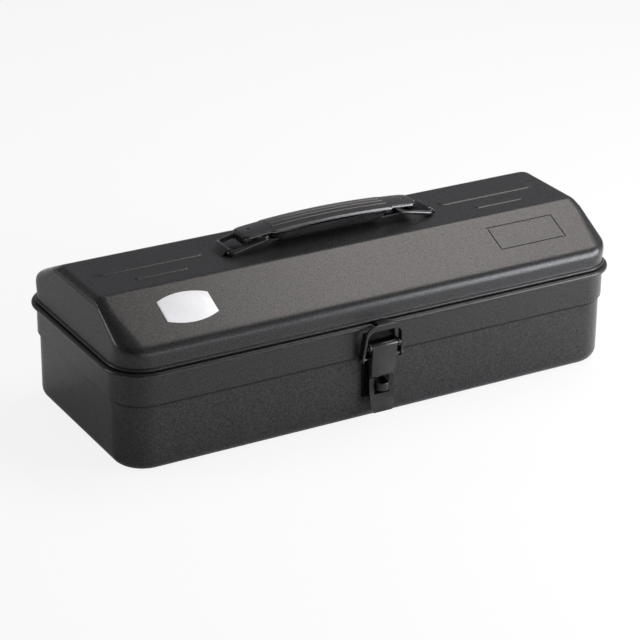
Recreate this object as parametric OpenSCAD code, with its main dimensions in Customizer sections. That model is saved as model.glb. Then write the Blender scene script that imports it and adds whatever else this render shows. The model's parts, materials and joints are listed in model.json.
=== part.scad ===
// Camber-top steel tool box with one draw latch, a lift-up handle and a loose inner tray.
// Millimetres. Front is -Y, up is +Z, the origin is the middle of the underside.

/* [Body] */
// Outside length of the lower wall
body_l = 349.6; // [280:0.2:420]
// Outside depth of the lower wall
body_d = 140.8; // [110:0.2:190]
// Radius of the upright corners
body_r = 21; // [16:0.5:30]
// Radius between floor and wall
floor_r = 8; // [5:0.5:12]
// Sheet thickness of body and lid
sheet = 0.8; // [0.6:0.1:1]
// Height of the step that carries the tray
step_z = 45; // [38:0.5:48]
// How far the upper wall stands out past the lower one
step_out = 1.5; // [1.2:0.1:2]
// Height over which the step is drawn
step_h = 1.6; // [1:0.1:2.4]
// Height of the rim
rim_z = 67; // [64:0.5:76]
// Reach of the rolled rim past the lower wall
rim_out = 4.7; // [4.4:0.1:5.4]
// Radius of the rolled rim
rim_r = 1.7; // [1.5:0.1:1.9]

/* [Lid] */
// How far the lid wall sits inside the upper body wall
lid_in = 0.8; // [0.6:0.1:1.2]
// Seat clearance between lid and rim
seat = 0.3; // [0.2:0.05:0.5]
// Height where the upright lid wall would meet the slope
slope_z = 80.6; // [78:0.2:88]
// Height of the flat top
top_z = 100.8; // [96:0.2:112]
// Depth of the flat top
top_d = 55.8; // [44:0.5:70]
// How far each end of the lid leans in up to the flat top
top_in = 2.25; // [0.5:0.25:6]
// Rounding of the lid edges
lid_r = 4.5; // [3:0.5:6]
// Plan radius of the lid corners at the bend
bend_r = 17.5; // [12:0.5:21]
// Reach of the lip at the foot of the lid
lip = 1.5; // [1.2:0.1:1.8]
// Radius of that lip
lip_r = 1; // [0.8:0.1:1.2]
// Length of the framed name field on the front slope
field_l = 50; // [30:1:70]
// Height of the framed name field
field_h = 20.4; // [12:0.2:24]
// Distance from the end of the lid to the middle of the field
field_in = 53.4; // [40:0.2:60]
// Distance up the slope to the middle of the field
field_up = 27.4; // [20:0.2:30]
// Depth of the pressed frame line
field_cut = 0.3; // [0.2:0.05:0.4]
// Gap between a handle bracket and the pressed ribs on the flat top
rib_gap = 7.9; // [3:0.1:12]
// Distance of those ribs from the end of the flat top
rib_end = 15.15; // [8:0.05:20]
// Width of the long pressed rib
rib_w = 8; // [5:0.5:9]
// Height of the pressed ribs
rib_h = 0.5; // [0.3:0.1:0.8]

// Length of the label
label_l = 34; // [20:1:50]
// Height of the label
label_h = 24.2; // [14:0.2:28]
// Thickness of the label
label_t = 0.15; // [0.1:0.05:0.3]

/* [Latch] */
// Offset of the latch from the middle
latch_x = -2.8; // [-6:0.1:6]
// Height of the lever pin
pin_z = 52.8; // [51:0.1:54]
// Distance of the lever pin from the upper wall
pin_out = 5.6; // [5.2:0.1:6.2]
// Radius of the lever pin
pin_r = 1.3; // [1.1:0.05:1.5]
// Sheet thickness of the lever
lever_t = 1; // [0.8:0.1:1.2]
// Width of the lever across its flanges
lever_w = 17.2; // [15.5:0.1:18]
// Drop from the lever pin to the loop pin
loop_drop = 8.3; // [7.6:0.1:8.8]
// Radius of the loop pin
loop_pin_r = 1.2; // [1:0.05:1.3]
// Outside width of the loop at its foot
loop_w = 29; // [28.6:0.2:34]
// How much narrower the loop is at its head, on each side
loop_taper = 1.6; // [0:0.1:1.8]
// Width of the front edge of the loop along its legs
loop_leg = 1.4; // [1.3:0.1:2.4]
// Height of the cross bar of the loop
loop_bar = 3.6; // [3:0.2:5]
// Sheet thickness of loop, base and catch
plate_t = 1.2; // [1:0.1:1.4]
// Lean of the loop away from the wall
loop_lean = 8.5; // [7:0.5:9.5]
// Width of the hook on the loop and of the catch under it
hook_w = 10.4; // [8:0.2:14]
// Height of the foot of the latch base
base_foot = 17; // [14:0.5:20]
// Distance of the head of the latch base below the rim
base_down = 6.5; // [5.5:0.5:9]
// Free play between hook and catch
hook_gap = 0.4; // [0.4:0.05:0.6]
// Reach of the padlock staple from the lower wall
staple_out = 11; // [10:0.2:12]

/* [Hinges] */
// Distance of each hinge from the middle
hinge_x = 95; // [60:1:125]
// Width of a hinge
hinge_w = 30; // [24:0.5:44]
// Radius of the hinge pins
hinge_pin_r = 1.2; // [1:0.05:1.4]
// Sheet thickness of the hinge leaves
leaf_t = 0.95; // [0.8:0.05:1]

// Distance from the step to the foot of a lower hinge leaf
leaf_foot = 2; // [0.5:0.5:6]

/* [Handle] */
// Distance from the middle to each bracket pivot
bracket_x = 73; // [68:0.5:80]
// Sheet thickness of the brackets
bracket_t = 1; // [0.8:0.1:1.2]
// Radius of the link wire
wire_r = 1.5; // [1.3:0.1:1.6]
// Length of a link from pivot to inner bar
link_l = 27.1; // [25:0.1:28]
// Rise of a link at rest, in degrees
link_rest = 12.3; // [11:0.1:13]
// Distance between the two sides of a link
link_w = 21; // [20.5:0.1:23]
// Radius of the arch of the grip
arch_r = 600; // [500:10:900]
// Half length of the grip
grip_half = 62.5; // [61.5:0.5:64]
// Half length of the rolled edges of the grip
roll_half = 44; // [38:0.5:44]
// Distance of the punched dimples from the ends of the grip
dimple_in = 6.5; // [5:0.5:10]
// Depth of those dimples
dimple_cut = 0.6; // [0.3:0.05:0.8]
// Radius of the bow across the grip
crown_r = 30; // [22:1:32]
// Radius of the belly under the grip
belly_r = 9.3; // [8.8:0.1:9.5]

/* [Tray] */
// Length of the tray
tray_l = 168; // [90:1:200]
// Height of the tray walls
tray_h = 17.5; // [10:0.5:19]
// Sheet thickness of the tray
tray_t = 0.7; // [0.5:0.1:0.9]
// Distance of the divider from the middle of the tray
divider_x = 12; // [-40:1:40]
// Reach of the foot of the divider
divider_foot = 10; // [6:0.5:14]
// How far the divider stays below the edge of the tray
divider_down = 3; // [2:0.5:6]

/* [Fits] */
// Radial running clearance at every pin and pivot
run = 0.05; // [0.02:0.01:0.1]
// Gap between parts that pass each other
pass = 0.3; // [0.25:0.05:0.4]

/* [Hidden] */
$fn = 64;
wall_y = body_d / 2 + step_out;
lid_l = body_l + 2 * (step_out - lid_in);
lid_d = body_d + 2 * (step_out - lid_in);
lid_z = rim_z + seat;
lid_plan_r = body_r + step_out - lid_in;
top_l = lid_l - 2 * top_in;
field_x = lid_l / 2 - field_in;
slope_a = atan2(top_z - slope_z, (lid_d - top_d) / 2);
slope_c = sin(slope_a) * lid_d / 2 + cos(slope_a) * slope_z;
pin_y = -(wall_y + pin_out);
curl_r = pin_r + run + lever_t;
loop_y = pin_y + 2.3;
loop_z = pin_z - loop_drop;
ear_x = lever_w / 2 + 1.1;
catch_z = rim_z;
hinge_y = wall_y + 5.6;
hinge_z = rim_z + 1.2;
knuckle_r = hinge_pin_r + run + leaf_t;
pivot_z = top_z + 0.1 + wire_r;
bracket_half = sqrt(2) * (wire_r + run + bracket_t) + pivot_z - top_z;
rib_from = bracket_x + bracket_half + rib_gap;
rib_l = top_l / 2 - rib_end - rib_from;
rib_x = rib_from + rib_l / 2;
arch_z = pivot_z + link_l * sin(link_rest) + 3.8;
grip_w = link_w + 0.2;
crown_up = 1.1 + crown_r - sqrt(crown_r * crown_r - grip_w * grip_w / 4);
tongue_half = link_w / 2 - 1.3;
lip_half = tongue_half - 2.4;
tray_d = body_d + 2 * (step_out - sheet) - 0.8;
tray_z = step_z + step_h / 2;
tray_x = tray_l / 2 + body_r + 3.8 - body_l / 2;

// Carries a wall section once round a rounded rectangle; section x is measured from the corner axis.
module sweep_round(l, d, r) {
    hx = l / 2 - r;
    hy = d / 2 - r;
    for (q = [0:3])
        translate([(q == 0 || q == 3 ? 1 : -1) * hx, (q < 2 ? 1 : -1) * hy, 0])
            rotate([0, 0, 90 * q])
                rotate_extrude(angle = 90)
                    children();
    for (s = [0, 180])
        rotate([0, 0, s]) {
            translate([hx, hy, 0])
                rotate([90, 0, 0])
                    linear_extrude(2 * hy)
                        children();
            rotate([0, 0, 90])
                translate([hy, hx, 0])
                    rotate([90, 0, 0])
                        linear_extrude(2 * hx)
                            children();
        }
}

// A ring sector in the plane: outer radius, inner radius, then the quadrants to keep.
module bend(outer, inner, sx, sy) {
    intersection() {
        difference() {
            circle(outer);
            circle(inner);
        }
        translate([sx < 0 ? -outer : 0, sy < 0 ? -outer : 0])
            square(outer);
    }
}

// Puts a side view, drawn as depth and height, upright and gives it a width along X.
module side(width) {
    rotate([90, 0, 90])
        translate([0, 0, -width / 2])
            linear_extrude(width)
                children();
}

module slot_plate(l, w, t) {
    linear_extrude(t) {
        square([l - w, w], center = true);
        for (s = [-1, 1])
            translate([s * (l - w) / 2, 0])
                circle(w / 2);
    }
}

// Floor, drawn corner, stepped wall, ledge and rolled edge as one strip of sheet.
module body_section() {
    r = body_r;
    o = r + step_out;
    c = r + rim_out - rim_r;
    square([r - floor_r, sheet]);
    translate([r - floor_r, floor_r])
        bend(floor_r, floor_r - sheet, 1, -1);
    translate([r - sheet, floor_r])
        square([sheet, step_z - floor_r]);
    polygon([[r - sheet, step_z], [r, step_z], [o, step_z + step_h], [o - sheet, step_z + step_h]]);
    translate([o - sheet, step_z + step_h])
        square([sheet, rim_z - step_z - step_h]);
    translate([o - sheet, rim_z - sheet])
        square([c - o + sheet, sheet]);
    translate([c, rim_z - rim_r]) {
        bend(rim_r, rim_r - sheet, 1, 1);
        bend(rim_r, rim_r - sheet, 1, -1);
    }
}

module box_body() {
    color("#2b2b2c")
        difference() {
            union() {
                sweep_round(body_l, body_d, body_r)
                    body_section();
                translate([body_r - body_l / 2, body_r - body_d / 2, 0])
                    cube([body_l - 2 * body_r, body_d - 2 * body_r, sheet]);
            }
            translate([latch_x - hook_w / 2 - 1.4, -wall_y - 6, rim_z - plate_t - 0.6])
                cube([hook_w + 2.8, 6 + sheet + 0.5, plate_t + 2]);
            translate([latch_x - hook_w / 2 - 1.4, -wall_y - 6, rim_z - 2 * rim_r - 1])
                cube([hook_w + 2.8, 6, 2 * rim_r + 2]);
        }
}

// The closed outside of the lid, or its inside when it is shrunk by the sheet.
module lid_form(t) {
    r = lid_r - t;
    bend_h = (slope_c - lid_r - sin(slope_a) * (lid_d / 2 - lid_r)) / cos(slope_a);
    top_y = (slope_c - lid_r - cos(slope_a) * (top_z - lid_r)) / sin(slope_a);
    bend_l = lid_l - (lid_l - top_l) * (bend_h - lid_z) / (top_z - lid_z);
    hull()
        for (sx = [-1, 1], sy = [-1, 1]) {
            translate([sx * (lid_l / 2 - lid_plan_r), sy * (lid_d / 2 - lid_plan_r), lid_z - (t > 0 ? 1 : 0)])
                cylinder(r = lid_plan_r - t, h = 1, $fn = 64);
            translate([sx * (bend_l / 2 - bend_r), sy * (lid_d / 2 - bend_r), bend_h])
                rotate_extrude($fn = 48)
                    translate([bend_r - lid_r, 0])
                        circle(r, $fn = 32);
            translate([sx * (top_l / 2 - lid_r), sy * top_y, top_z - lid_r])
                sphere(r, $fn = 32);
        }
}

module on_front_slope() {
    translate([0, -lid_d / 2, slope_z])
        rotate([slope_a, 0, 0])
            children();
}

module lid_shell() {
    color("#2f2f30")
        union() {
            difference() {
                lid_form(0);
                lid_form(sheet);
                on_front_slope()
                    translate([field_x, field_up, -field_cut])
                        linear_extrude(2)
                            difference() {
                                square([field_l, field_h], center = true);
                                square([field_l - 1.6, field_h - 1.6], center = true);
                            }
            }
            translate([0, 0, lid_z])
                sweep_round(lid_l, lid_d, lid_plan_r)
                    translate([lid_plan_r + lip - lip_r, lip_r])
                        circle(lip_r);
            for (s = [-1, 1]) {
                translate([s * rib_x, rib_w / 2, top_z - 0.2])
                    slot_plate(rib_l, rib_w, rib_h + 0.2);
                translate([s * rib_x, -13, top_z - 0.2])
                    slot_plate(rib_l / 2, 4.5, rib_h + 0.2);
            }
        }
}

// Angle strap: fixed to the inside of the lid, it reaches out through the gap in the rim.
module lid_catch() {
    inside = lid_d / 2 - sheet;
    color("#2b2b2c")
        translate([latch_x, 0, 0])
            union() {
                translate([-hook_w / 2, -inside, catch_z - plate_t])
                    cube([hook_w, plate_t, 10]);
                translate([-hook_w / 2, -(wall_y + pin_out) + 0.6, catch_z - plate_t])
                    cube([hook_w, wall_y + pin_out - 0.6 - inside + plate_t, plate_t]);
            }
}

// Foot plate with a set-off for the step in the wall, and two ears for the lever pin.
module latch_base() {
    lower = body_d / 2;
    head = rim_z - base_down;
    t = plate_t;
    color("#242425")
        translate([latch_x, 0, 0])
            difference() {
                union() {
                    side(2 * ear_x + 2 * t)
                        polygon([[-wall_y, head], [-wall_y, step_z - 0.4], [-lower, step_z - 2],
                            [-lower, base_foot], [-lower - t, base_foot], [-lower - t, step_z - 2.6],
                            [-wall_y - t, step_z - 1], [-wall_y - t, head]]);
                    for (s = [-1, 1])
                        translate([s * (ear_x + t / 2), 0, 0])
                            side(t) {
                                translate([pin_y, pin_z])
                                    circle(2.7);
                                translate([pin_y, pin_z - 2.7])
                                    square([pin_out - t / 2, 5.4]);
                            }
                }
                translate([0, pin_y, pin_z])
                    rotate([0, 90, 0])
                        cylinder(r = pin_r, h = 60, center = true);
            }
}

// Bent strip that passes through the window of the lever and takes a padlock.
module latch_staple() {
    y0 = -body_d / 2 - plate_t;
    reach = staple_out - plate_t;
    color("#55565a")
        translate([latch_x, y0, 23])
            linear_extrude(5)
                difference() {
                    union() {
                        translate([-4.2, 4.2 - reach])
                            square([8.4, reach - 4.2]);
                        translate([0, 4.2 - reach])
                            circle(4.2);
                    }
                    translate([-3, 4.2 - reach])
                        square([6, reach]);
                    translate([0, 4.2 - reach])
                        circle(3);
                }
}

module latch_pin() {
    half = ear_x + plate_t + 0.5;
    color("#8a8b8d")
        translate([latch_x, pin_y, pin_z])
            rotate([0, 90, 0]) {
                cylinder(r = pin_r, h = 2 * half, center = true);
                for (s = [-1, 1])
                    translate([0, 0, s * (half + 0.15)])
                        cylinder(r = pin_r + 0.6, h = 0.7, center = true);
            }
}

// The lever seen from the side: curl, raised pad, set-back neck and flared finger tab.
module lever_section() {
    t = lever_t;
    front = pin_y - curl_r;
    neck = front + 3.5;
    flare = 24.3;
    polygon([[front + 0.1, pin_z], [front + t, pin_z], [front + t + 1.3, 33.6], [neck + t, 31.2],
        [neck + t, 26.8], [neck, 26.8], [neck, 31], [front + 1.3, 33]]);
    intersection() {
        translate([neck - flare, 27])
            difference() {
                circle(flare + t, $fn = 128);
                circle(flare, $fn = 128);
            }
        translate([neck - 9, 11])
            square([9 + t, 16]);
    }
}

module lever_flange() {
    front = pin_y - curl_r;
    back = -wall_y - plate_t - 0.4;
    polygon([[front + 0.6, 50.5], [back, 50.5], [back, 40], [back - 0.6, 31], [front + 4.2, 24],
        [front + 2.2, 17.6], [front + 1.6, 17.6], [front + 3.7, 24], [front + 3.7, 31.2],
        [front + 1.8, 33.4]]);
}

module latch_lever() {
    half = lever_w / 2;
    color("#2d2d2e")
        translate([latch_x, 0, 0])
            difference() {
                intersection() {
                    union() {
                        side(lever_w)
                            lever_section();
                        for (s = [-1, 1])
                            translate([s * (half - lever_t / 2), 0, 0])
                                side(lever_t)
                                    lever_flange();
                        translate([0, pin_y, pin_z])
                            rotate([0, 90, 0])
                                cylinder(r = curl_r, h = lever_w + 1.7, center = true);
                    }
                    rotate([90, 0, 0])
                        translate([0, 0, 60])
                            linear_extrude(40)
                                polygon([[-half - 1, 70], [-half - 1, 50], [-half, 49], [-half, 22],
                                    [2 - half, 13], [4 - half, 11], [half - 4, 11], [half - 2, 13],
                                    [half, 22], [half, 49], [half + 1, 50], [half + 1, 70]]);
                }
                translate([0, pin_y, pin_z])
                    rotate([0, 90, 0])
                        cylinder(r = pin_r + run, h = 60, center = true);
                translate([0, loop_y, loop_z])
                    rotate([0, 90, 0])
                        cylinder(r = loop_pin_r, h = 60, center = true);
                translate([-5.2, pin_y - 10, 19.5])
                    cube([10.4, 20, 8]);
                translate([-5.2, pin_y - curl_r + 2.6, 19.5])
                    cube([10.4, 20, 11.7]);
            }
}

module loop_pin() {
    color("#8a8b8d")
        translate([latch_x, loop_y, loop_z])
            rotate([0, 90, 0]) {
                cylinder(r = loop_pin_r, h = loop_w + 0.6, center = true);
                for (s = [-1, 1])
                    translate([0, 0, s * (loop_w / 2 + 0.45)])
                        cylinder(r = loop_pin_r + 0.5, h = 0.5, center = true);
            }
}

// Outline of the loop in its own plane: legs that close in towards the head, rounded corners.
module loop_outline(inset, top, foot) {
    a = atan(loop_taper / (catch_z - loop_z));
    r = 6 - inset / 2;
    y = top - r;
    x = loop_w / 2 - inset - y * tan(a) - r / cos(a);
    side_x = x + r * cos(a);
    side_y = y + r * sin(a);
    foot_x = side_x + (side_y - foot) * tan(a);
    polygon([[-foot_x, foot], [foot_x, foot], [side_x, side_y], [x, y], [x, top], [-x, top],
        [-x, y], [-side_x, side_y]]);
    for (s = [-1, 1])
        translate([s * x, y])
            circle(r);
}

module latch_loop() {
    t = plate_t;
    top = (catch_z + hook_gap + t - loop_z - 0.6) / cos(loop_lean);
    color("#343436")
        translate([latch_x, 0, 0])
            difference() {
                union() {
                    translate([0, loop_y, loop_z])
                        rotate([90 + loop_lean, 0, 0]) {
                            translate([0, 0, 2.1 - t])
                                linear_extrude(t)
                                    difference() {
                                        loop_outline(0, top, 0);
                                        loop_outline(loop_leg, top - loop_bar, -1);
                                    }
                            translate([0, 0, -2.4])
                                linear_extrude(4.5)
                                    intersection() {
                                        difference() {
                                            loop_outline(0, top, 0);
                                            loop_outline(t, top - t, -1);
                                        }
                                        translate([-loop_w, -1])
                                            square([2 * loop_w, top - 5]);
                                    }
                            for (s = [-1, 1])
                                translate([s * (loop_w - t) / 2, 0, 0])
                                    rotate([0, 90, 0])
                                        cylinder(r = 2.4, h = t, center = true);
                        }
                    translate([-hook_w / 2, pin_y - 2.2, catch_z + hook_gap])
                        cube([hook_w, 5.4, t]);
                    translate([-hook_w / 2, pin_y - 2.4, catch_z - 1.6])
                        cube([hook_w, t, hook_gap + t + 1.6]);
                }
                translate([0, loop_y, loop_z])
                    rotate([0, 90, 0])
                        cylinder(r = loop_pin_r + run, h = 60, center = true);
            }
}

// Leaf under the rim: wall plate, bend round the rolled edge, two outer knuckles.
module hinge_leaf_body(x) {
    c = body_d / 2 + rim_out - rim_r;
    h = rim_z - rim_r;
    in = rim_r + 0.4;
    foot = step_z + step_h + leaf_foot;
    ear = hinge_w / 4;
    color("#28282a")
        translate([x, 0, 0])
            difference() {
                union() {
                    side(hinge_w) {
                        translate([wall_y, foot])
                            square([leaf_t, h - in - foot]);
                        translate([wall_y, h - in - leaf_t])
                            square([c - wall_y, leaf_t]);
                        translate([c, h])
                            bend(in + leaf_t, in, 1, -1);
                    }
                    for (s = [-1, 1])
                        translate([s * (hinge_w - ear) / 2, 0, 0])
                            side(ear) {
                                translate([c + in, h])
                                    square([leaf_t, hinge_z - h]);
                                translate([hinge_y, hinge_z])
                                    circle(knuckle_r);
                            }
                }
                translate([0, hinge_y, hinge_z])
                    rotate([0, 90, 0])
                        cylinder(r = hinge_pin_r, h = 2 * hinge_w, center = true);
            }
}

// Leaf over the lip: wall plate, arm and one middle knuckle.
module hinge_leaf_lid(x) {
    wall = lid_d / 2;
    arm_z = hinge_z + knuckle_r - leaf_t;
    color("#28282a")
        translate([x, 0, 0])
            difference() {
                union() {
                    side(hinge_w) {
                        translate([wall, arm_z])
                            square([leaf_t, slope_z - lid_r - arm_z + 1]);
                        translate([wall, arm_z])
                            square([hinge_y - knuckle_r - 0.5 - wall, leaf_t]);
                    }
                    side(hinge_w / 2 - 2 * pass) {
                        translate([wall, arm_z])
                            square([hinge_y - wall, leaf_t]);
                        translate([hinge_y, hinge_z])
                            circle(knuckle_r);
                    }
                }
                translate([0, hinge_y, hinge_z])
                    rotate([0, 90, 0])
                        cylinder(r = hinge_pin_r + run, h = 2 * hinge_w, center = true);
            }
}

module hinge_pin(x) {
    color("#8a8b8d")
        translate([x, hinge_y, hinge_z])
            rotate([0, 90, 0]) {
                cylinder(r = hinge_pin_r, h = hinge_w + 1, center = true);
                for (s = [-1, 1])
                    translate([0, 0, s * (hinge_w / 2 + 0.6)])
                        cylinder(r = hinge_pin_r + 0.6, h = 0.8, center = true);
            }
}

// Turns a cross-section, drawn as depth and height above the arch, along the arch of the grip.
module arch(from, to) {
    a0 = asin(from / arch_r);
    a1 = asin(to / arch_r);
    translate([0, 0, arch_z - arch_r])
        rotate([90, 0, 0])
            rotate([0, 0, 90 - a1])
                rotate_extrude(angle = a1 - a0, $fn = 360)
                    translate([arch_r, 0])
                        rotate(-90)
                            mirror([1, 0])
                                children();
}

// Cross-section of the bowed cover plate, grown by a hair where a second piece overlaps it.
module crown(half, grow) {
    intersection() {
        translate([0, crown_up - crown_r])
            difference() {
                circle(crown_r + grow, $fn = 128);
                circle(crown_r - 1 - grow, $fn = 128);
            }
        translate([-half, -1])
            square([2 * half, 8]);
    }
}

// Ribbed top of the grip: rolled long edges between the links, turned-down ends, punched dimples.
module handle_cover() {
    end = grip_half - 0.9;
    dimple_x = grip_half - dimple_in;
    dimple_r = 3.2;
    dimple_z = arch_z + crown_up + sqrt(arch_r * arch_r - dimple_x * dimple_x) - arch_r + dimple_r - dimple_cut;
    color("#39393b")
        difference() {
            union() {
                arch(-grip_half, grip_half)
                    crown(tongue_half, 0);
                arch(-roll_half, roll_half) {
                    crown(grip_w / 2, 0.02);
                    for (s = [-1, 1])
                        translate([s * grip_w / 2, 0])
                            circle(1.3);
                    for (y = [-5.5, 0, 5.5])
                        translate([y, crown_up - crown_r + sqrt(crown_r * crown_r - y * y) - 0.5])
                            circle(0.95);
                }
                for (s = [-1, 1])
                    arch(s > 0 ? end : -grip_half - 0.05, s > 0 ? grip_half + 0.05 : -end)
                        intersection() {
                            translate([0, crown_up - crown_r])
                                circle(crown_r - 0.4, $fn = 128);
                            translate([-lip_half, -2.6])
                                square([2 * lip_half, 8]);
                        }
            }
            for (sx = [-1, 1], sy = [-1, 1])
                translate([sx * grip_half, sy * (lip_half + 0.2), arch_z])
                    rotate([0, 0, -sx * sy * 32])
                        translate([-10, sy > 0 ? 0 : -10, -15])
                            cube([20, 10, 30]);
            for (s = [-1, 1])
                translate([s * dimple_x, 0, dimple_z])
                    rotate([0, 90, 0])
                        sphere(dimple_r);
        }
}

// Half outline of the belly with blunt ends, for turning about the long axis.
module belly_outline(r) {
    len = roll_half - belly_r - 1;
    intersection() {
        union() {
            translate([-r, -len])
                square([2 * r, 2 * len]);
            for (s = [-1, 1])
                translate([0, s * len])
                    circle(r);
        }
        translate([0, 0.6 - len - r])
            square([2 * belly_r, 2 * (len + r - 0.6)]);
    }
}

module about_length() {
    translate([0, 0, arch_z - 1.6])
        rotate([90, 0, 90])
            rotate([0, 0, 180])
                children();
}

// Hollow lower half of the grip with a narrow tongue under each link bar.
module handle_belly() {
    tongue_z = arch_z - 8;
    post_x = (arch_r - 2.6) * (grip_half - 0.9) / arch_r - 0.13;
    start = roll_half - 7;
    color("#313133")
        union() {
            about_length()
                rotate_extrude(angle = 180)
                    difference() {
                        belly_outline(belly_r);
                        belly_outline(belly_r - 1);
                    }
            difference() {
                for (s = [-1, 1]) {
                    translate([s * (post_x + start) / 2, 0, tongue_z + 0.5])
                        cube([post_x - start, 12.8, 1], center = true);
                    translate([s * (post_x - 0.5), 0, tongue_z + 2.4])
                        cube([1, 12.8, 4.8], center = true);
                }
                about_length()
                    rotate_extrude()
                        belly_outline(belly_r - 0.6);
            }
        }
}

// Closed wire frame: bar in the bracket, two sides, bar in the grip.
module link_wire() {
    r = 3;
    hy = link_w / 2;
    for (x = [0, link_l])
        translate([x, 0, 0])
            rotate([90, 0, 0])
                cylinder(r = wire_r, h = link_w - 2 * r, center = true);
    for (s = [-1, 1])
        translate([link_l / 2, s * hy, 0])
            rotate([0, 90, 0])
                cylinder(r = wire_r, h = link_l - 2 * r, center = true);
    for (q = [0:3])
        translate([q == 0 || q == 3 ? link_l - r : r, (q < 2 ? 1 : -1) * (hy - r), 0])
            rotate([0, 0, 90 * q])
                rotate_extrude(angle = 90)
                    translate([r, 0])
                        circle(wire_r);
}

module handle_link_left() {
    color("#4a4a4c")
        translate([-bracket_x, 0, pivot_z])
            rotate([0, -link_rest, 0])
                link_wire();
}

module handle_link_right() {
    mirror([1, 0, 0])
        handle_link_left();
}

// Outline of a bridge round a bar: flat on top, with sides that slope to the lid.
module bridge(r, down) {
    top = r * tan(22.5);
    foot = r * sqrt(2) + pivot_z - top_z + down;
    polygon([[-foot, top_z - down], [-top, pivot_z + r], [top, pivot_z + r], [foot, top_z - down]]);
}

// Strap over the outer bar of a link.
module handle_bracket(x) {
    r = wire_r + run;
    color("#2b2b2c")
        translate([x, 7.2, 0])
            rotate([90, 0, 0])
                linear_extrude(14.4)
                    difference() {
                        bridge(r + bracket_t, 0);
                        bridge(r, 2);
                    }
}

// Open tray that rests with its bottom edge on the step of the body.
module tray() {
    r = 8;
    color("#343436")
        translate([tray_x, 0, tray_z]) {
            sweep_round(tray_l, tray_d, r) {
                square([r - 1, tray_t]);
                translate([r - 1, 1])
                    bend(1, 1 - tray_t, 1, -1);
                translate([r - tray_t, 1])
                    square([tray_t, tray_h - 1]);
                translate([r - 2.2, tray_h - tray_t])
                    square([2.2, tray_t]);
            }
            translate([r - tray_l / 2, r - tray_d / 2, 0])
                cube([tray_l - 2 * r, tray_d - 2 * r, tray_t]);
        }
}

module tray_divider() {
    h = tray_h - divider_down;
    color("#343436")
        translate([tray_x + divider_x, 0, tray_z + tray_t]) {
            translate([0, 0, h / 2])
                cube([tray_t, tray_d - 2 * tray_t - 0.4, h], center = true);
            translate([divider_foot / 2, 0, tray_t / 2])
                cube([divider_foot, tray_d - 20, tray_t], center = true);
        }
}

// Plain label, barrel shaped, level with the framed field on the other side.
module label_blank() {
    bow_r = 38.1;
    color("#f2f2ef")
        on_front_slope()
            translate([0.8 - field_x, field_up - 0.8, 0])
                linear_extrude(label_t)
                    intersection() {
                        square([label_l, 2 * label_h], center = true);
                        translate([0, label_h / 2 - bow_r])
                            circle(bow_r, $fn = 128);
                        translate([0, bow_r - label_h / 2])
                            circle(bow_r, $fn = 128);
                    }
}

box_body();
lid_shell();
lid_catch();
latch_base();
latch_staple();
latch_pin();
latch_lever();
latch_loop();
loop_pin();
hinge_leaf_body(-hinge_x);  // hinge_leaf_body_left
hinge_leaf_body(hinge_x);  // hinge_leaf_body_right
hinge_leaf_lid(-hinge_x);  // hinge_leaf_lid_left
hinge_leaf_lid(hinge_x);  // hinge_leaf_lid_right
hinge_pin(-hinge_x);  // hinge_pin_left
hinge_pin(hinge_x);  // hinge_pin_right
handle_cover();
handle_belly();
handle_link_left();
handle_link_right();
handle_bracket(-bracket_x);  // handle_bracket_left
handle_bracket(bracket_x);  // handle_bracket_right
tray();
tray_divider();
label_blank();
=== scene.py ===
import bmesh
import bpy
import json
import math
from mathutils import Matrix, Vector


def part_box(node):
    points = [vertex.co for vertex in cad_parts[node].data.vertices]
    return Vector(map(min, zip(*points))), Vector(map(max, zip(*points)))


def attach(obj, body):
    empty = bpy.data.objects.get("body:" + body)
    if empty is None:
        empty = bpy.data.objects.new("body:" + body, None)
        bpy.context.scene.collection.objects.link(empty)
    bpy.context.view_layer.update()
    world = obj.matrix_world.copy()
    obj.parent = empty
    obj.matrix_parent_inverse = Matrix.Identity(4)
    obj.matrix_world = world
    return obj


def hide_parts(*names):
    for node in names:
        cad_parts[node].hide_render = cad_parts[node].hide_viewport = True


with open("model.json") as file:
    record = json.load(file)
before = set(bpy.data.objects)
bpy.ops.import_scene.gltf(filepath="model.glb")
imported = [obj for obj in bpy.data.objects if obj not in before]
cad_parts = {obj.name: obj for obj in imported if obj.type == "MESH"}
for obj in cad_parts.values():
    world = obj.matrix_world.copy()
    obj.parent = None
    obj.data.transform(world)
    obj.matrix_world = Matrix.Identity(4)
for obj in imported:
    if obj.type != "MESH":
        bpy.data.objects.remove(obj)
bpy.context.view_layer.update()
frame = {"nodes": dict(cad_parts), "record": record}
nodes = frame["nodes"]
scene = bpy.context.scene
scene.view_settings.view_transform = "Standard"
mm = 0.001  # sizes below are millimetres times this
print("frame loaded:", len(nodes), "nodes")


class Wire:  # a node socket that takes plain arithmetic
    def __init__(self, tree, socket=None):
        self.tree = tree
        self.socket = socket

    def node(self, kind, settings=None, inputs=None, output=0):
        made = self.tree.nodes.new(kind)
        for key, value in (settings or {}).items():
            if key == "stops":
                for element, place in zip(made.color_ramp.elements, value):
                    element.position = place
            else:
                setattr(made, key, value)
        for key, value in (inputs or {}).items():
            if isinstance(value, Wire):
                self.tree.links.new(value.socket, made.inputs[key])
            else:
                made.inputs[key].default_value = value
        return Wire(self.tree, made.outputs[output])

    def maths(self, operation, first, second):
        return self.node("ShaderNodeMath", {"operation": operation}, {0: first, 1: second})

    def __add__(self, other):
        return self.maths("ADD", self, other)

    def __radd__(self, other):
        return self.maths("ADD", other, self)

    def __sub__(self, other):
        return self.maths("SUBTRACT", self, other)

    def __rsub__(self, other):
        return self.maths("SUBTRACT", other, self)

    def __mul__(self, other):
        return self.maths("MULTIPLY", self, other)

    def __rmul__(self, other):
        return self.maths("MULTIPLY", other, self)

    def __pow__(self, exponent):
        return self.maths("POWER", self, exponent)


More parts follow.
